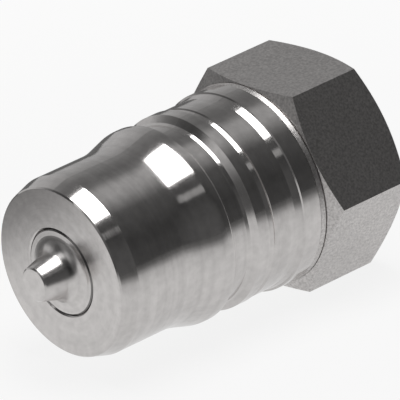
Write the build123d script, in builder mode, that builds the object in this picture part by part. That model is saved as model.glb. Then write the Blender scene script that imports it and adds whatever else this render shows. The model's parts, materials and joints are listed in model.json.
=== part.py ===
from build123d import *
import os

# Male half of a quick-release hydraulic coupling, lying on its side.
# The centre line runs along +X from the nose to the pipe thread. All sizes are in millimetres.
os.makedirs("parts", exist_ok=True)

# Outside of the turned body, from the front face backwards
face_d = 29.6            # flat front face
edge_break = 0.25        # small chamfer round the front face and the poppet's hole
nose_d = 31.4            # ground sealing cylinder
taper_len = 3.3
seal_len = 10.4
ramp_foot_len = 3.5      # hollow run-out between the cylinder and the ramp
ramp_foot_rise = 0.45
ramp_len = 3.7           # ramp that pushes the locking balls outwards
rim_d = 34.6             # retaining rim
rim_len = 2.3
rim_crown = 0.9          # length of the soft turn from the ramp to the rim
rim_drop = 0.1           # how far the ramp ends below the rim
rim_round = 0.5
ball_groove_d = 31.9     # groove that the locking balls drop into
ball_groove_len = 3.8
groove_round = 0.6
flank_len = 0.55         # shallow flank at the foot of each step
flank_rise = 0.2
step_lean = 0.15
rib_wall_len = 0.9       # slope between the flank and the rib
rib_d = 34.5
rib_len = 2.35
nick_d = 33.2            # narrow nick behind the rib
nick_len = 0.5
nick_flank_len = 0.8
neck_len = 4.7
neck_drop = 0.6          # how far the neck stands below the collar
shoulder_len = 1.4       # sloping shoulder before the rear collar
shoulder_rise = 0.35
collar_len = 3.7         # rear collar against the hexagon
collar_drop = 0.15       # how far the collar stands below the flats
collar_edge = 0.15

# Hexagon piece
hex_flats = 35.6
hex_len = 18.3
ring_len = 0.8           # full-round ring in front of the flats
ring_drop = 0.05         # how far its rear edge stands below the flats
ring_lean = 0.2
ring_groove_len = 0.3    # narrow groove between the ring and the flats
ring_groove_depth = 0.35
hex_front_chamfer_len = 1.3
hex_rear_chamfer_d = 34.8
hex_rear_chamfer_len = 1.7
spigot_d = 28.4          # end that screws into the body
spigot_len = 8.0
spigot_bore_d = 22.6
thread_major_d = 26.4    # female pipe thread, drawn at its major diameter
thread_len = 16.0
thread_mouth_d = 28.4
thread_mouth_len = 1.4

# Valve
seat_d = 15.2
seat_land = 1.2
chamber_d = 23.2
guide_bore_d = 25.0
guide_bore_start = 26.5
guide_len = 2.4
guide_hub_d = 10.0
guide_hub_len = 7.0
guide_window_d = 5.6
guide_window_count = 5
snap_wire = 1.2
snap_groove_depth = 0.8
snap_gap = 4.0
pin_d = 6.0              # pin that the other half of the coupling pushes
pin_reach = 5.9
pin_edge = 0.25
pin_root_d = 8.0         # where the pin's cone turns into a hollow flare
pin_flare_len = 2.0
pin_flare_d = 12.9
poppet_head_d = 20.4
poppet_head_len = 4.2
stem_d = 6.0
stem_overrun = 3.0
seal_groove_start = 2.9
seal_groove_len = 1.9
seal_groove_depth = 1.0
spring_wire = 1.5
spring_mean_d = 14.0
spring_turns = 6
joint_ring_wire = 1.8
joint_ring_groove_len = 2.3

# Clearances
gap_running = 0.10       # poppet in its hole and stem in its guide, on radius
gap_seat = 0.30          # metal cones of the poppet and the seat, along the axis
gap_seal = 0.05
gap_assembly = 0.05      # pieces fixed in each other

# Radii and stations, all measured from the front face
nose_r = nose_d / 2
face_r = face_d / 2
rim_r = rim_d / 2
flat_r = hex_flats / 2
collar_r = flat_r - collar_drop
ring_r = flat_r - ring_drop
neck_r = collar_r - neck_drop
chamber_r = chamber_d / 2
seat_r = seat_d / 2
stem_r = stem_d / 2
x_seal = taper_len
x_foot = x_seal + seal_len
x_ramp = x_foot + ramp_foot_len
x_rim = x_ramp + ramp_len
x_groove = x_rim + rim_len
x_flank = x_groove + ball_groove_len
x_rib = x_flank + flank_len + rib_wall_len
x_nick = x_rib + rib_len
x_neck = x_nick + nick_len + nick_flank_len + step_lean
x_shoulder = x_neck + neck_len
x_collar = x_shoulder + shoulder_len + step_lean
x_joint = x_collar + collar_len
x_end = x_joint + hex_len
x_spigot = x_joint - spigot_len
x_guide = guide_bore_start
x_snap = x_guide + guide_len + 2 * gap_assembly

# Place in the world: a flat of the hexagon is down, the length is centred
axis_height = max(flat_r, rim_r)
front_x = -(x_end - pin_reach) / 2
centre_line = Axis((front_x, 0, axis_height), (1, 0, 0))
axial = Plane(origin=(front_x, 0, axis_height), x_dir=(1, 0, 0), z_dir=(0, -1, 0))


def across(station):
    """Plane across the centre line, at a distance behind the front face."""
    return Plane(origin=(front_x + station, 0, axis_height), x_dir=(0, 1, 0), z_dir=(1, 0, 0))


# Turned body
with BuildPart() as nose_body:
    with BuildSketch(axial):
        with BuildLine():
            Line((0, seat_r + edge_break), (0, face_r - edge_break))
            Line((0, face_r - edge_break), (edge_break, face_r))
            Line((edge_break, face_r), (x_seal, nose_r))
            Line((x_seal, nose_r), (x_foot, nose_r))
            foot = (x_ramp, nose_r + ramp_foot_rise)
            TangentArc((x_foot, nose_r), foot, tangent=(1, 0))
            ramp_top = (x_rim, rim_r - rim_drop)
            crown = (x_rim + rim_crown, rim_r)
            Line(foot, ramp_top)
            TangentArc(crown, ramp_top, tangent=(-1, 0))
            Line(crown, (x_groove - rim_round, rim_r))
            TangentArc((x_groove - rim_round, rim_r), (x_groove, rim_r - rim_round), tangent=(1, 0))
            groove_r = ball_groove_d / 2
            groove_in = (x_groove + groove_round, groove_r)
            Line((x_groove, rim_r - rim_round), (x_groove, groove_r + groove_round))
            TangentArc((x_groove, groove_r + groove_round), groove_in, tangent=(0, -1))
            Line(groove_in, (x_flank, groove_r))
            # Each step up is a shallow flank and then a steeper wall
            Line((x_flank, groove_r), (x_flank + flank_len, groove_r + flank_rise))
            rib_r = rib_d / 2
            Line((x_flank + flank_len, groove_r + flank_rise), (x_rib, rib_r))
            Line((x_rib, rib_r), (x_nick, rib_r))
            nick_r = nick_d / 2
            nick_flank = (x_nick + nick_len, nick_r)
            nick_wall = (x_nick + nick_len + nick_flank_len, nick_r + flank_rise)
            Line((x_nick, rib_r), (x_nick, nick_r))
            Line((x_nick, nick_r), nick_flank)
            Line(nick_flank, nick_wall)
            Line(nick_wall, (x_neck, neck_r))
            Line((x_neck, neck_r), (x_shoulder, neck_r))
            shoulder_top = (x_shoulder + shoulder_len, neck_r + shoulder_rise)
            Line((x_shoulder, neck_r), shoulder_top)
            Line(shoulder_top, (x_collar, collar_r))
            Line((x_collar, collar_r), (x_joint - collar_edge, collar_r))
            Line((x_joint - collar_edge, collar_r), (x_joint, collar_r - collar_edge))
            spigot_hole_r = spigot_d / 2 + gap_assembly
            spigot_floor = x_spigot - gap_assembly
            Line((x_joint, collar_r - collar_edge), (x_joint, spigot_hole_r))
            Line((x_joint, spigot_hole_r), (spigot_floor, spigot_hole_r))
            guide_bore_r = guide_bore_d / 2
            Line((spigot_floor, spigot_hole_r), (spigot_floor, guide_bore_r))
            Line((spigot_floor, guide_bore_r), (x_guide, guide_bore_r))
            Line((x_guide, guide_bore_r), (x_guide, chamber_r))
            seat_foot = seat_land + chamber_r - seat_r
            Line((x_guide, chamber_r), (seat_foot, chamber_r))
            Line((seat_foot, chamber_r), (seat_land, seat_r))
            Line((seat_land, seat_r), (edge_break, seat_r))
            Line((edge_break, seat_r), (0, seat_r + edge_break))
        make_face()
    revolve(axis=centre_line)
    # Groove for the snap ring
    snap_groove_r = guide_bore_d / 2 + snap_groove_depth
    with BuildSketch(across(x_snap)):
        Circle(snap_groove_r)
        Circle(chamber_r, mode=Mode.SUBTRACT)
    extrude(amount=snap_wire + 2 * gap_assembly, mode=Mode.SUBTRACT)
nose_body.part.label = "nose_body"
export_step(nose_body.part, "parts/nose_body.step")

# Hexagon piece: a turned blank cut by the six flats behind the joint
hex_corner_r = hex_flats / 3 ** 0.5
with BuildPart() as hex_adaptor:
    x_ring_end = x_joint + ring_len
    x_hex = x_ring_end + ring_groove_len
    with BuildSketch(across(x_hex)):
        RegularPolygon(radius=hex_corner_r, side_count=6)
    extrude(amount=x_end - x_hex)
    blank = [
        (x_hex, 0),
        (x_hex, ring_r),
        (x_hex + hex_front_chamfer_len, hex_corner_r),
        (x_end - hex_rear_chamfer_len, hex_corner_r),
        (x_end, hex_rear_chamfer_d / 2),
        (x_end, 0),
    ]
    with BuildSketch(axial):
        with BuildLine():
            Polyline(*blank, close=True)
        make_face()
    revolve(axis=centre_line, mode=Mode.INTERSECT)
    with BuildSketch(axial):
        with BuildLine():
            Polyline(
                (x_joint, 0),
                (x_joint, ring_r - ring_lean),
                (x_ring_end, ring_r),
                (x_ring_end, ring_r - ring_groove_depth),
                (x_hex, ring_r - ring_groove_depth),
                (x_hex, 0),
                close=True,
            )
        make_face()
    revolve(axis=centre_line)
    with BuildSketch(across(x_spigot)):
        Circle(spigot_d / 2)
    extrude(amount=spigot_len)
    # Seat of the joint's O-ring, cut into the spigot's end
    ring_floor_r = spigot_d / 2 - joint_ring_wire + gap_assembly
    with BuildSketch(across(x_spigot + gap_assembly)):
        Circle(spigot_d / 2 + gap_assembly)
        Circle(ring_floor_r, mode=Mode.SUBTRACT)
    extrude(amount=joint_ring_groove_len, mode=Mode.SUBTRACT)
    # Bore through the spigot, then the pipe thread and its mouth
    with BuildSketch(across(x_spigot)):
        Circle(spigot_bore_d / 2)
    extrude(amount=spigot_len + hex_len, mode=Mode.SUBTRACT)
    with BuildSketch(across(x_end - thread_len)):
        Circle(thread_major_d / 2)
    extrude(amount=thread_len, mode=Mode.SUBTRACT)
    with BuildSketch(axial):
        with BuildLine():
            Polyline(
                (x_end - thread_mouth_len, 0),
                (x_end - thread_mouth_len, thread_major_d / 2),
                (x_end, thread_mouth_d / 2),
                (x_end, 0),
                close=True,
            )
        make_face()
    revolve(axis=centre_line, mode=Mode.SUBTRACT)
hex_adaptor.part.label = "hex_adaptor"
export_step(hex_adaptor.part, "parts/hex_adaptor.step")

# Poppet with its pin in front and its stem behind
poppet_r = seat_r - gap_running
head_r = poppet_head_d / 2
pin_r = pin_d / 2
x_cone = seat_land + gap_seat
x_head = x_cone + head_r - poppet_r
x_head_end = x_head + poppet_head_len
x_stem_end = x_guide + guide_len + stem_overrun
with BuildPart() as poppet:
    with BuildSketch(axial):
        with BuildLine():
            Line((-pin_reach, 0), (-pin_reach, pin_r - pin_edge))
            Line((-pin_reach, pin_r - pin_edge), (-pin_reach + pin_edge, pin_r))
            pin_root = (-pin_flare_len, pin_root_d / 2)
            flare_edge = (0, pin_flare_d / 2)
            pin_slope = (pin_reach - pin_edge - pin_flare_len, pin_root_d / 2 - pin_r)
            Line((-pin_reach + pin_edge, pin_r), pin_root)
            TangentArc(pin_root, flare_edge, tangent=pin_slope)
            Line(flare_edge, (0, poppet_r - edge_break))
            Line((0, poppet_r - edge_break), (edge_break, poppet_r))
            Line((edge_break, poppet_r), (x_cone, poppet_r))
            Line((x_cone, poppet_r), (x_head, head_r))
            Line((x_head, head_r), (x_head_end, head_r))
            Line((x_head_end, head_r), (x_head_end, stem_r))
            Line((x_head_end, stem_r), (x_stem_end, stem_r))
            Line((x_stem_end, stem_r), (x_stem_end, 0))
            Line((x_stem_end, 0), (-pin_reach, 0))
        make_face()
    revolve(axis=centre_line)
    # Groove for the seal, cut across the seat cone
    groove_floor_r = poppet_r + seal_groove_start - x_cone - seal_groove_depth
    with BuildSketch(across(seal_groove_start)):
        Circle(head_r + gap_seat)
        Circle(groove_floor_r, mode=Mode.SUBTRACT)
    extrude(amount=seal_groove_len, mode=Mode.SUBTRACT)
poppet.part.label = "poppet"
export_step(poppet.part, "parts/poppet.step")

# Seal in the poppet's groove, its outer face just off the seat cone
seal_front = seal_groove_start + gap_assembly
seal_back = seal_groove_start + seal_groove_len - gap_assembly
with BuildPart() as poppet_seal:
    seat_slope_r = seat_r - seat_land - gap_seal
    with BuildSketch(axial):
        with BuildLine():
            Polyline(
                (seal_front, groove_floor_r + gap_assembly),
                (seal_front, seat_slope_r + seal_front),
                (seal_back, seat_slope_r + seal_back),
                (seal_back, groove_floor_r + gap_assembly),
                close=True,
            )
        make_face()
    revolve(axis=centre_line)
poppet_seal.part.label = "poppet_seal"
export_step(poppet_seal.part, "parts/poppet_seal.step")

# Guide with flow windows, against the shoulder of its bore
with BuildPart() as valve_guide:
    with BuildSketch(across(x_guide + gap_assembly)):
        Circle(guide_bore_d / 2 - gap_assembly)
    extrude(amount=guide_len)
    with BuildSketch(across(x_guide + guide_len + gap_assembly - guide_hub_len)):
        Circle(guide_hub_d / 2)
    extrude(amount=guide_hub_len)
    window_circle_r = (guide_hub_d + chamber_d) / 4
    with BuildSketch(across(x_guide + gap_assembly)):
        with PolarLocations(window_circle_r, guide_window_count):
            Circle(guide_window_d / 2)
    extrude(amount=guide_len, mode=Mode.SUBTRACT)
    with BuildSketch(across(x_guide + guide_len + gap_assembly - guide_hub_len)):
        Circle(stem_r + gap_running)
    extrude(amount=guide_hub_len, mode=Mode.SUBTRACT)
valve_guide.part.label = "valve_guide"
export_step(valve_guide.part, "parts/valve_guide.step")

# Snap ring that keeps the guide in
with BuildPart() as guide_ring:
    ring_inner_r = guide_bore_d / 2 - snap_wire
    with BuildSketch(across(x_snap + gap_assembly)):
        Circle(snap_groove_r - gap_assembly)
        Circle(ring_inner_r, mode=Mode.SUBTRACT)
        with Locations((ring_inner_r, 0)):
            Rectangle(2 * (snap_groove_r - ring_inner_r), snap_gap, mode=Mode.SUBTRACT)
    extrude(amount=snap_wire)
guide_ring.part.label = "guide_ring"
export_step(guide_ring.part, "parts/guide_ring.step")

# Spring between the poppet's head and the guide
spring_start = x_head_end + spring_wire / 2 + gap_assembly
spring_stop = x_guide - spring_wire / 2
spring_pitch = (spring_stop - spring_start) / spring_turns
with BuildPart() as poppet_spring:
    with BuildLine():
        coil = Helix(
            pitch=spring_pitch,
            height=spring_stop - spring_start,
            radius=spring_mean_d / 2,
            center=(front_x + spring_start, 0, axis_height),
            direction=(1, 0, 0),
        )
    with BuildSketch(Plane(origin=coil @ 0, z_dir=coil % 0)):
        Circle(spring_wire / 2)
    sweep(path=coil, is_frenet=True)
poppet_spring.part.label = "poppet_spring"
export_step(poppet_spring.part, "parts/poppet_spring.step")

# O-ring between the spigot and the body
with BuildPart() as joint_o_ring:
    wire_r = joint_ring_wire / 2 - gap_assembly
    ring_mid_r = spigot_d / 2 + gap_assembly / 2 - wire_r
    with BuildSketch(axial):
        with Locations((x_spigot + joint_ring_groove_len / 2, ring_mid_r)):
            Circle(wire_r)
    revolve(axis=centre_line)
joint_o_ring.part.label = "joint_o_ring"
export_step(joint_o_ring.part, "parts/joint_o_ring.step")
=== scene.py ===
import json
from math import cos, pi, radians, sin

import bpy
from mathutils import Matrix, Vector


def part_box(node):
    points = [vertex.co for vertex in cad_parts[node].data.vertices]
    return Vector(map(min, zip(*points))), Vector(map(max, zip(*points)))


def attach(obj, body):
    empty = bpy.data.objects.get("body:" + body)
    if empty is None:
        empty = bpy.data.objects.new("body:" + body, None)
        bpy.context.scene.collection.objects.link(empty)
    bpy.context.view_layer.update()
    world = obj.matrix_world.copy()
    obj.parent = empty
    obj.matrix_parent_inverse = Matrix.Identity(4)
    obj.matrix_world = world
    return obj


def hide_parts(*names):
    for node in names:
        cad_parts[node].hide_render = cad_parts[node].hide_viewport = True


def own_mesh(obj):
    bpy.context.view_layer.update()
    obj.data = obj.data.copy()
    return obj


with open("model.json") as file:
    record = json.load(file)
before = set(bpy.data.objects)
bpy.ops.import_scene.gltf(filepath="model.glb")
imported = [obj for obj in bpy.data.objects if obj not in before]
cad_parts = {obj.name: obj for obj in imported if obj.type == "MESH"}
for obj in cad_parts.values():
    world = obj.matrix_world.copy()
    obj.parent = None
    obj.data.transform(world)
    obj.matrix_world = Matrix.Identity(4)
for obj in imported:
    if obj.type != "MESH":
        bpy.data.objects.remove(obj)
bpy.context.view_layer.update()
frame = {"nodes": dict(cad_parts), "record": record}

MM = 0.001

# The nipple's centre line, read from the pipe thread's mount
MOUNTS = {mount["name"]: mount for mount in frame["record"]["mounts"]}
THREAD = MOUNTS["pipe_thread"]
AXIS_Z = THREAD["pos_m"][2]

# Camera: a long lens, nearly parallel, tipped a little to the left as in the photograph
CAMERA_AIM = Vector((0.0040, 0.0, 0.0191))
CAMERA_AZIMUTH = 40.7
CAMERA_ELEVATION = 24.4
CAMERA_ROLL = -5.5
CAMERA_DISTANCE = 1.13
CAMERA_LENS = 614.0
SENSOR_WIDTH = 36.0


def make_camera():
    """Aim the camera down its azimuth and elevation, then roll it about its view."""
    data = bpy.data.cameras.new("camera")
    data.lens = CAMERA_LENS
    data.sensor_width = SENSOR_WIDTH
    camera = bpy.data.objects.new("camera", data)
    bpy.context.scene.collection.objects.link(camera)
    azimuth, elevation = radians(CAMERA_AZIMUTH), radians(CAMERA_ELEVATION)
    view = Vector((sin(azimuth) * cos(elevation), cos(azimuth) * cos(elevation), -sin(elevation)))
    turn = view.to_track_quat("-Z", "Y").to_matrix().to_4x4()
    roll = Matrix.Rotation(radians(CAMERA_ROLL), 4, "Z")
    camera.matrix_world = Matrix.Translation(CAMERA_AIM - view * CAMERA_DISTANCE) @ turn @ roll
    bpy.context.scene.camera = camera


class Nodes:
    """Short hand for building a node tree."""

    def __init__(self, owner):
        owner.use_nodes = True
        self.tree = owner.node_tree
        self.tree.nodes.clear()

    def add(self, kind, **values):
        node = self.tree.nodes.new(kind)
        for name, value in values.items():
            setattr(node, name, value)
        return node

    def join(self, source, target):
        self.tree.links.new(source, target)

    def math(self, operation, *values):
        node = self.add("ShaderNodeMath", operation=operation)
        for socket, value in zip(node.inputs, values):
            if isinstance(value, (int, float)):
                socket.default_value = value
            else:
                self.join(value, socket)
        return node.outputs[0]

    def noise(self, place, scale, detail):
        node = self.add("ShaderNodeTexNoise")
        node.inputs["Scale"].default_value = scale
        node.inputs["Detail"].default_value = detail
        self.join(place, node.inputs["Vector"])
        return node.outputs["Fac"]

    def span(self, source, start, stop, low=0.0, high=1.0):
        """Low where the source is at start or less, high where it is at stop or more."""
        node = self.add("ShaderNodeMapRange")
        for name, value in (("From Min", start), ("From Max", stop), ("To Min", low), ("To Max", high)):
            node.inputs[name].default_value = value
        self.join(source, node.inputs["Value"])
        return node.outputs["Result"]

    def bump(self, height, strength):
        node = self.add("ShaderNodeBump")
        node.inputs["Strength"].default_value = strength
        node.inputs["Distance"].default_value = BUMP_DEPTH
        self.join(height, node.inputs["Height"])
        return node.outputs["Normal"]

    def ramp(self, source, stops):
        node = self.add("ShaderNodeValToRGB")
        elements = node.color_ramp.elements
        while len(elements) < len(stops):
            elements.new(0.5)
        for element, (place, colour) in zip(elements, stops):
            element.position = place
            element.color = (*colour, 1.0) if isinstance(colour, tuple) else (colour, colour, colour, 1.0)
        self.join(source, node.inputs[0])
        return node.outputs[0]


BUMP_DEPTH = 0.02 * MM
# Turned metal: shares of the colour and the roughness, grain sizes, and where the tint's ramp turns
TURNED_SHARES = (0.90, 1.10)
TURNED_DULL = (0.82, 1.18)
TURNED_TURNS = (0.36, 0.64)
TURNED_CLOUDS = 700.0
BAND_SHARE = 0.13
# Drawn metal, likewise
DRAWN_SHARES = (0.80, 1.20)
DRAWN_DULL = (0.80, 1.20)
DRAWN_TURNS = (0.34, 0.66)
DRAWN_CLOUDS = 2600.0
DRAWN_GRAIN = 4200.0
DRAWN_STRETCH = (0.12, 1.0, 1.0)
# Broken edge just behind the front face, where painted shade can darken the colour: where it starts and
# stops
EDGE_START = 0.02 * MM
EDGE_STOP = 0.26 * MM


def metal(name):
    """A new metal's material, its nodes and its shader."""
    material = bpy.data.materials.new(name)
    nodes = Nodes(material)
    output = nodes.add("ShaderNodeOutputMaterial")
    shader = nodes.add("ShaderNodeBsdfPrincipled")
    shader.inputs["Metallic"].default_value = 1.0
    nodes.join(shader.outputs[0], output.inputs["Surface"])
    return material, nodes, shader


def shades(colour, shares, turns):
    """Ramp stops from a darker to a lighter shade of a colour."""
    return [(turn, tuple(channel * share for channel in colour)) for turn, share in zip(turns, shares)]


def turned_metal(name, colour, roughness, ring_scale, ring_bump, face=None, dullness=0.0, edge_shade=1.0):
    """Plated steel with turning rings round the centre line.

    Where the x of a front face is given, the face is rougher by dullness, and its broken edge
    keeps the edge_shade share of the colour, a painted shade for the dark ring round the face.
    """
    material, nodes, shader = metal(name)
    place = nodes.add("ShaderNodeTexCoord").outputs["Object"]
    parts = nodes.add("ShaderNodeSeparateXYZ")
    nodes.join(place, parts.inputs[0])
    height = nodes.math("SUBTRACT", parts.outputs["Z"], AXIS_Z)
    across = nodes.math("MULTIPLY", parts.outputs["Y"], parts.outputs["Y"])
    upward = nodes.math("MULTIPLY", height, height)
    radius = nodes.math("SQRT", nodes.math("ADD", across, upward))
    ring_place = nodes.add("ShaderNodeCombineXYZ")
    nodes.join(parts.outputs["X"], ring_place.inputs["X"])
    nodes.join(radius, ring_place.inputs["Y"])
    rings = nodes.noise(ring_place.outputs[0], ring_scale, 3.0)
    bands = nodes.noise(ring_place.outputs[0], ring_scale * BAND_SHARE, 4.0)
    clouds = nodes.noise(place, TURNED_CLOUDS, 6.0)
    shade = nodes.math("MULTIPLY", nodes.math("ADD", clouds, bands), 0.5)
    tint = nodes.ramp(shade, shades(colour, TURNED_SHARES, TURNED_TURNS))
    mixed = nodes.math("MULTIPLY", nodes.math("ADD", clouds, rings), 0.5)
    rough = nodes.span(mixed, 0.0, 1.0, *(roughness * share for share in TURNED_DULL))
    if face is not None:
        on_face = nodes.math("LESS_THAN", parts.outputs["X"], face + EDGE_START)
        rough = nodes.math("ADD", rough, nodes.math("MULTIPLY", on_face, dullness))
        past_face = nodes.math("SUBTRACT", 1.0, on_face)
        near_face = nodes.math("LESS_THAN", parts.outputs["X"], face + EDGE_STOP)
        on_shaded_edge = nodes.math("MULTIPLY", past_face, near_face)
        # Painted shade: the broken edge's colour is darkened by its share
        shaded_tint = nodes.add("ShaderNodeVectorMath", operation="SCALE")
        nodes.join(tint, shaded_tint.inputs[0])
        nodes.join(nodes.math("MULTIPLY_ADD", on_shaded_edge, edge_shade - 1.0, 1.0), shaded_tint.inputs["Scale"])
        tint = shaded_tint.outputs[0]
    nodes.join(tint, shader.inputs["Base Color"])
    nodes.join(rough, shader.inputs["Roughness"])
    nodes.join(nodes.bump(rings, ring_bump), shader.inputs["Normal"])
    return material


def drawn_metal(name, colour, roughness, grain_bump):
    """Plated bar stock: a fine grain along the bar, with no turning rings."""
    material, nodes, shader = metal(name)
    place = nodes.add("ShaderNodeTexCoord").outputs["Object"]
    stretch = nodes.add("ShaderNodeMapping")
    stretch.inputs["Scale"].default_value = DRAWN_STRETCH
    nodes.join(place, stretch.inputs["Vector"])
    grain = nodes.noise(stretch.outputs[0], DRAWN_GRAIN, 4.0)
    clouds = nodes.noise(place, DRAWN_CLOUDS, 5.0)
    nodes.join(nodes.ramp(clouds, shades(colour, DRAWN_SHARES, DRAWN_TURNS)), shader.inputs["Base Color"])
    dull = nodes.span(grain, 0.0, 1.0, *(roughness * share for share in DRAWN_DULL))
    nodes.join(dull, shader.inputs["Roughness"])
    nodes.join(nodes.bump(grain, grain_bump), shader.inputs["Normal"])
    return material


RUBBER_MOTTLE = 900.0
RUBBER_TONES = [(0.3, 0.018), (0.7, 0.035)]
RUBBER_ROUGHNESS = 0.55


def seal_rubber():
    """Matte black nitrile with a faint mottle."""
    material = bpy.data.materials.new("seal_rubber")
    nodes = Nodes(material)
    output = nodes.add("ShaderNodeOutputMaterial")
    shader = nodes.add("ShaderNodeBsdfPrincipled")
    nodes.join(shader.outputs[0], output.inputs["Surface"])
    mottle = nodes.noise(nodes.add("ShaderNodeTexCoord").outputs["Object"], RUBBER_MOTTLE, 2.0)
    nodes.join(nodes.ramp(mottle, RUBBER_TONES), shader.inputs["Base Color"])
    shader.inputs["Roughness"].default_value = RUBBER_ROUGHNESS
    return material


def dress(node, material):
    """Give a CAD node its material."""
    slots = frame["nodes"][node].data.materials
    if slots:
        for index in range(len(slots)):
            slots[index] = material
    else:
        slots.append(material)


# Pipe thread, a helical ridge along the bore
THREAD_PITCH = 1.814 * MM
THREAD_CREST_DEPTH = 1.1 * MM
THREAD_ROOT_SINK = 0.05 * MM
THREAD_STEPS = 96
THREAD_HALF_WIDTH = THREAD_PITCH * 0.46
THREAD_HALF_FLAT = THREAD_HALF_WIDTH * 0.18
THREAD_RUN_OUT = 0.35      # share of a turn over which each end rises


def make_thread(material):
    """One helical ridge with pointed ends, standing in from the bore's wall."""
    wall = THREAD["dims"]["r_mm"] * MM
    length = THREAD["dims"]["length_mm"] * MM
    middle = THREAD["pos_m"][0]
    turns = (length - 2 * THREAD_HALF_WIDTH) / THREAD_PITCH
    count = int(turns * THREAD_STEPS)
    start = middle - length / 2 + THREAD_HALF_WIDTH
    root = wall + THREAD_ROOT_SINK
    flat = THREAD_HALF_FLAT
    shifts = (-THREAD_HALF_WIDTH, -flat, flat, THREAD_HALF_WIDTH)
    vertices, faces = [], []
    for step in range(count + 1):
        angle = 2 * pi * step / THREAD_STEPS
        run = min(step, count - step) / (THREAD_STEPS * THREAD_RUN_OUT)
        crest = wall - THREAD_CREST_DEPTH * min(run, 1.0)
        along = start + THREAD_PITCH * step / THREAD_STEPS
        for shift, radius in zip(shifts, (root, crest, crest, root)):
            vertices.append((along + shift, radius * cos(angle), AXIS_Z + radius * sin(angle)))
    corners = len(shifts)
    for step in range(count):
        here, there = corners * step, corners * (step + 1)
        for side in range(corners):
            after = (side + 1) % corners
            faces.append((here + side, here + after, there + after, there + side))
    faces.append(tuple(reversed(range(corners))))
    faces.append(tuple(corners * count + side for side in range(corners)))
    mesh = bpy.data.meshes.new("pipe_thread")
    mesh.from_pydata(vertices, [], faces)
    mesh.update()
    mesh.materials.append(material)
    thread = bpy.data.objects.new("pipe_thread", mesh)
    bpy.context.scene.collection.objects.link(thread)
    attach(thread, "housing")


def make_spring(material):
    """The valve spring as a piece of its own on the housing, with a mesh of its own."""
    spring = bpy.data.objects.new("valve_spring", frame["nodes"]["poppet_spring"].data.copy())
    bpy.context.scene.collection.objects.link(spring)
    spring.data.materials.clear()
    spring.data.materials.append(material)
    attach(spring, "housing")
    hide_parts("poppet_spring")
    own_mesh(spring)


# Studio: pale table, a soft box overhead, two faint cards, and a dark room
TABLE_HALF = 0.80
TABLE_COLOUR = (0.80, 0.795, 0.79)
TABLE_GLOW = 0.86
TABLE_MELT = (0.06, 0.30)      # distances between which the glow rises to white
TABLE_SHEEN = 0.85
WHITE = (1.0, 1.0, 1.0, 1.0)
# Painted reflection: the brightness that the metal sees in the table, between these distances along Y
TABLE_SPAN = (-0.20, 0.10)
TABLE_REFLECTION_TONES = [
    (0.00, 0.08), (0.27, 0.32), (0.36, 0.56), (0.46, 0.70), (0.55, 0.80), (0.62, 0.80), (0.70, 0.90),
    (0.78, 0.88), (0.81, 0.74), (0.84, 0.26), (0.88, 0.16), (1.00, 0.08),
]


def make_table():
    """A pale table top that the nipple lies on, which melts into the white further away."""
    mesh = bpy.data.meshes.new("table")
    corners = [(-TABLE_HALF, -TABLE_HALF, 0), (TABLE_HALF, -TABLE_HALF, 0),
               (TABLE_HALF, TABLE_HALF, 0), (-TABLE_HALF, TABLE_HALF, 0)]
    mesh.from_pydata(corners, [], [(0, 1, 2, 3)])
    table = bpy.data.objects.new("table", mesh)
    bpy.context.scene.collection.objects.link(table)
    material = bpy.data.materials.new("table")
    nodes = Nodes(material)
    output = nodes.add("ShaderNodeOutputMaterial")
    paper = nodes.add("ShaderNodeBsdfDiffuse")
    paper.inputs["Color"].default_value = (*TABLE_COLOUR, 1.0)
    # Painted reflection, a glow that only glossy rays see: bright close by, falling off to both sides
    place = nodes.add("ShaderNodeTexCoord").outputs["Object"]
    parts = nodes.add("ShaderNodeSeparateXYZ")
    nodes.join(place, parts.inputs[0])
    sheen = nodes.add("ShaderNodeEmission")
    across = nodes.span(parts.outputs["Y"], *TABLE_SPAN)
    nodes.join(nodes.ramp(across, TABLE_REFLECTION_TONES), sheen.inputs["Color"])
    rays = nodes.add("ShaderNodeLightPath")
    reflected = nodes.add("ShaderNodeMixShader")
    nodes.join(nodes.math("MULTIPLY", rays.outputs["Is Glossy Ray"], TABLE_SHEEN), reflected.inputs["Fac"])
    nodes.join(paper.outputs[0], reflected.inputs[1])
    nodes.join(sheen.outputs[0], reflected.inputs[2])
    glow = nodes.add("ShaderNodeEmission")
    glow.inputs["Color"].default_value = WHITE
    away = nodes.add("ShaderNodeVectorMath", operation="LENGTH")
    nodes.join(place, away.inputs[0])
    melt = nodes.span(away.outputs["Value"], *TABLE_MELT, low=TABLE_GLOW)
    seen = nodes.add("ShaderNodeMixShader")
    nodes.join(nodes.math("MULTIPLY", rays.outputs["Is Camera Ray"], melt), seen.inputs["Fac"])
    nodes.join(reflected.outputs[0], seen.inputs[1])
    nodes.join(glow.outputs[0], seen.inputs[2])
    nodes.join(seen.outputs[0], output.inputs["Surface"])
    table.data.materials.append(material)


# Brightness of the room from the camera's side, over the top, to the far side. The shares dim it
# from ahead of the nose to behind the hexagon.
WORLD_TONES = [
    (0.00, 0.10), (0.14, 0.05), (0.25, 0.08), (0.34, 0.10), (0.39, 0.20), (0.50, 0.41), (0.60, 0.42),
    (0.67, 0.19), (0.74, 0.16), (0.80, 0.20), (0.85, 0.29), (0.90, 0.44), (1.00, 0.60),
]
ROOM_SHARES = [
    (0.00, 0.27), (0.03, 0.40), (0.06, 0.95), (0.10, 0.95), (0.14, 0.27), (0.30, 0.27), (0.40, 0.67),
    (1.00, 0.67),
]
ROOM_STRENGTH = 1.5


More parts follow.
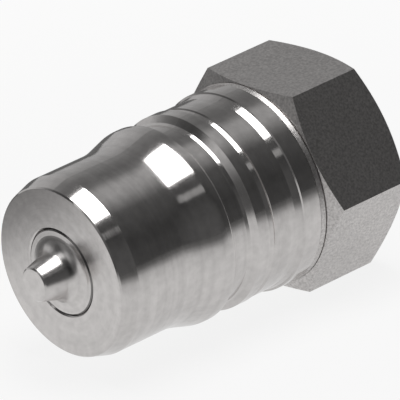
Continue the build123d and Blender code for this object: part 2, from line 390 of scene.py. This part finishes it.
def make_world():
    """White for the camera, and a room of soft grey bands for what the metal reflects."""
    world = bpy.data.worlds.new("studio")
    bpy.context.scene.world = world
    nodes = Nodes(world)
    output = nodes.add("ShaderNodeOutputWorld")
    direction = nodes.add("ShaderNodeTexCoord").outputs["Generated"]
    parts = nodes.add("ShaderNodeSeparateXYZ")
    nodes.join(direction, parts.inputs[0])
    room = nodes.ramp(nodes.span(parts.outputs["Y"], -1.0, 1.0), WORLD_TONES)
    share = nodes.ramp(nodes.span(parts.outputs["X"], -1.0, 1.0), ROOM_SHARES)
    dim = nodes.add("ShaderNodeBackground")
    nodes.join(room, dim.inputs["Color"])
    nodes.join(nodes.math("MULTIPLY", share, ROOM_STRENGTH), dim.inputs["Strength"])
    white = nodes.add("ShaderNodeBackground")
    white.inputs["Color"].default_value = WHITE
    mix = nodes.add("ShaderNodeMixShader")
    nodes.join(nodes.add("ShaderNodeLightPath").outputs["Is Camera Ray"], mix.inputs["Fac"])
    nodes.join(dim.outputs[0], mix.inputs[1])
    nodes.join(white.outputs[0], mix.inputs[2])
    nodes.join(mix.outputs[0], output.inputs["Surface"])


# Name, place, aim, size in metres and power in watts
LAMPS = [
    ("soft_box", (0.06, -0.03, 0.62), (0.06, -0.03, 0.0), (0.28, 0.47), 2.0),
    ("front_card", (-0.28, 0.06, 0.56), (0.0, 0.06, 0.0), (0.24, 0.40), 0.22),
    ("side_card", (0.09, -0.46, 0.52), (0.0, 0.0, 0.02), (0.16, 0.09), 0.015),
]


def make_lamp(name, place, aim, size, power):
    """A rectangular soft box that faces its aim."""
    data = bpy.data.lights.new(name, "AREA")
    data.shape = "RECTANGLE"
    data.size, data.size_y = size
    data.energy = power
    lamp = bpy.data.objects.new(name, data)
    bpy.context.scene.collection.objects.link(lamp)
    view = Vector(aim) - Vector(place)
    lamp.matrix_world = Matrix.Translation(place) @ view.to_track_quat("-Z", "Y").to_matrix().to_4x4()


make_camera()
make_table()
make_world()
for lamp in LAMPS:
    make_lamp(*lamp)

body_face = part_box("nose_body")[0][0]
body_metal = turned_metal("plated_steel", colour=(0.63, 0.61, 0.60), roughness=0.12, ring_scale=5200.0,
                          ring_bump=0.25, face=body_face, dullness=0.12)
hex_metal = drawn_metal("plated_steel_hex", colour=(0.60, 0.58, 0.57), roughness=0.34, grain_bump=0.35)
# The poppet's broken edge is darkened, a painted shade for the dark ring round the gap
poppet_metal = turned_metal("poppet_steel", colour=(0.64, 0.62, 0.61), roughness=0.24, ring_scale=6000.0,
                            ring_bump=0.22, face=body_face, edge_shade=0.35)
brass = turned_metal("guide_brass", colour=(0.72, 0.54, 0.26), roughness=0.28, ring_scale=4200.0,
                     ring_bump=0.25)
wire = drawn_metal("spring_steel", colour=(0.42, 0.42, 0.43), roughness=0.30, grain_bump=0.2)
rubber = seal_rubber()
dress("nose_body", body_metal)
dress("hex_adaptor", hex_metal)
dress("poppet", poppet_metal)
dress("valve_guide", brass)
for node in ("guide_ring", "poppet_spring"):
    dress(node, wire)
for node in ("poppet_seal", "joint_o_ring"):
    dress(node, rubber)
make_thread(hex_metal)
make_spring(wire)

bpy.context.scene.view_settings.view_transform = "Standard"
